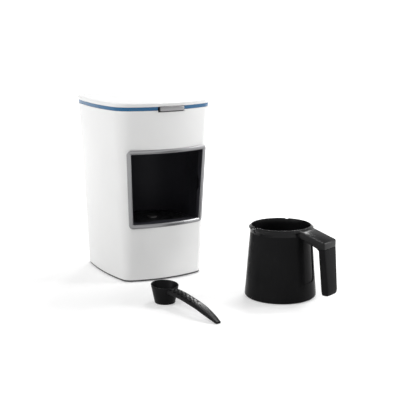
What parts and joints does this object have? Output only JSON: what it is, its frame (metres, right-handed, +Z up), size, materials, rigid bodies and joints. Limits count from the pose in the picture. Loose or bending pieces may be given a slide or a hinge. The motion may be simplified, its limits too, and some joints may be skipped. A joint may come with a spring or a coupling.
{
  "type": "electric turkish coffee maker",
  "caption": "White upright Turkish coffee maker with an open brewing chamber, start button and blue band, with its lipped coffee pot and a curved measuring spoon beside it.",
  "frame": {"origin": "on the table plane, under the middle of the machine, at the middle foot", "axes": "+Z up; -Y out of the machine's front, towards the pot and spoon; +X to the right as seen from the front"},
  "size_m": [0.2145, 0.3557, 0.24],
  "materials": {
    "body_white": "glossy",
    "band_blue": "glossy",
    "trim_silver": "satin",
    "liner_black": "glossy",
    "base_grey": "matt",
    "rubber": "matt",
    "steel": "brushed",
    "part_black": "matt",
    "part_red": "matt",
    "board_green": "satin",
    "lens_clear": "clear",
    "part_ivory": "matt",
    "lens_dark": "tinted",
    "plate_metal": "turned",
    "element_steel": "matt",
    "part_blue": "matt",
    "part_ochre": "glossy",
    "wire_red": "matt",
    "pot_black": "fine texture",
    "pot_gloss": "satin",
    "spoon_black": "satin"
  },
  "bodies": {
    "machine": {"outer_casing": "body_white", "top_cover": "body_white", "accent_band": "band_blue", "window_frame": "trim_silver", "brewing_chamber": "liner_black", "base_plate": "base_grey", "rubber_feet": "rubber", "base_screws": "steel", "button_guide": "liner_black", "button_spring": "steel", "switch_body": "part_black", "control_board": "board_green", "board_screws": "steel", "indicator_led": "lens_clear", "buzzer": "part_black", "board_connectors": "part_ivory", "foam_sensor_holder": "liner_black", "foam_sensor_lens": "lens_dark", "hot_plate": "plate_metal", "plate_seal": "rubber", "plate_clamps": "steel", "clamp_screws": "steel", "heating_element": "element_steel", "sensor_bracket": "steel", "bracket_nuts": "steel", "thermal_fuse": "part_ivory", "sensor_spring": "steel", "power_board": "board_green", "power_board_screws": "steel", "transformer": "element_steel", "relay": "part_blue", "capacitors": "part_ochre", "terminal_block": "part_ivory", "cord_gland": "part_black", "gland_nut": "part_black", "wiring": "wire_red"},
    "button": {"start_button": "trim_silver"},
    "plunger": {"switch_plunger": "part_red"},
    "sensor": {"temperature_sensor": "steel"},
    "pot": {"pot_vessel": "pot_gloss", "pot_base_disc": "plate_metal", "pot_base_ring": "pot_black", "pot_shell": "pot_black", "pot_collar": "pot_gloss", "pot_grip": "pot_black", "pot_handle_trim": "pot_black", "pot_grip_screw": "steel"},
    "spoon": {"measuring_spoon": "spoon_black"}
  },
  "joints": [
    {"name": "button_press", "type": "slide", "parent": "machine", "child": "button", "axis": [0, 1, 0], "range_m": [0, 0.0015], "stiffness_N_per_m": 700, "springref_m": -0.0015, "deforming": ["button_spring"]},
    {"name": "plunger_press", "type": "slide", "parent": "machine", "child": "plunger", "axis": [0, 1, 0], "range_m": [0, 0.0015]},
    {"name": "sensor_press", "type": "slide", "parent": "machine", "child": "sensor", "axis": [0, 0, -1], "range_m": [0, 0.0015], "stiffness_N_per_m": 500, "springref_m": -0.0015, "deforming": ["sensor_spring"]},
    {"name": "pot_lift", "type": "slide", "parent": "machine", "child": "pot", "axis": [0, 0, 1], "range_m": [0, 0.15]},
    {"name": "spoon_lift", "type": "slide", "parent": "machine", "child": "spoon", "axis": [0, 0, 1], "range_m": [0, 0.1]}
  ],
  "couplings": [
    {"joint": "plunger_press", "follows": "button_press", "ratio": 1}
  ]
}
